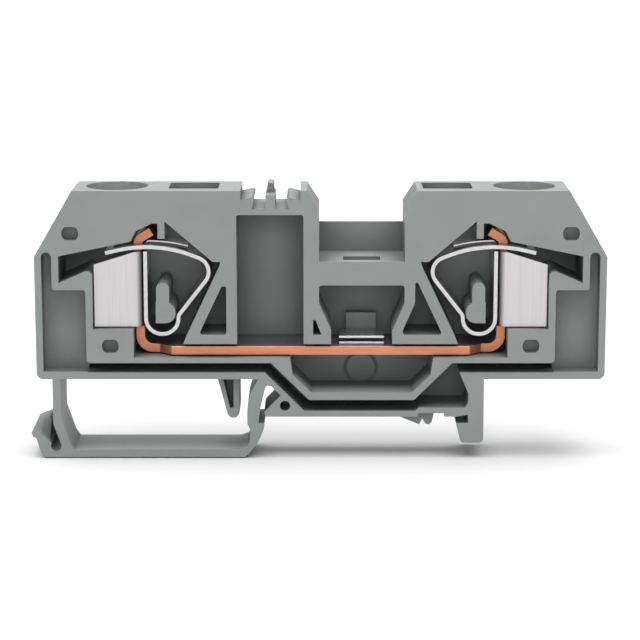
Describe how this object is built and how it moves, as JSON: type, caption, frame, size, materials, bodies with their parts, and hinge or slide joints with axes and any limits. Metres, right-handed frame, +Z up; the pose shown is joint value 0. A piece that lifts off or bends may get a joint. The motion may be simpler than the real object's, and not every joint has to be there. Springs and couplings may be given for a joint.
{
  "type": "feed-through terminal block",
  "caption": "Rail-mounted feed-through terminal block with spring clamps, an open side, a current bar and an elastic rail foot.",
  "frame": {"origin": "centre of the mounting rail's top face, at the middle of the block's width", "axes": "+X along the block towards the fixed rail foot, +Y through its width towards the closed side, +Z up from the rail"},
  "size_m": [0.0962, 0.0127, 0.0461],
  "materials": {
    "housing": "satin grey polyamide",
    "current_bar": null,
    "spring_steel": "bright rolled strip",
    "guide_steel": "brushed sheet"
  },
  "bodies": {
    "root": {"housing": "housing", "current_bar": "current_bar", "clamp_spring_left": "spring_steel", "clamp_spring_right": "spring_steel", "conductor_guide_left": "guide_steel", "conductor_guide_right": "guide_steel", "bridge_contact": "spring_steel"}
  },
  "joints": []
}
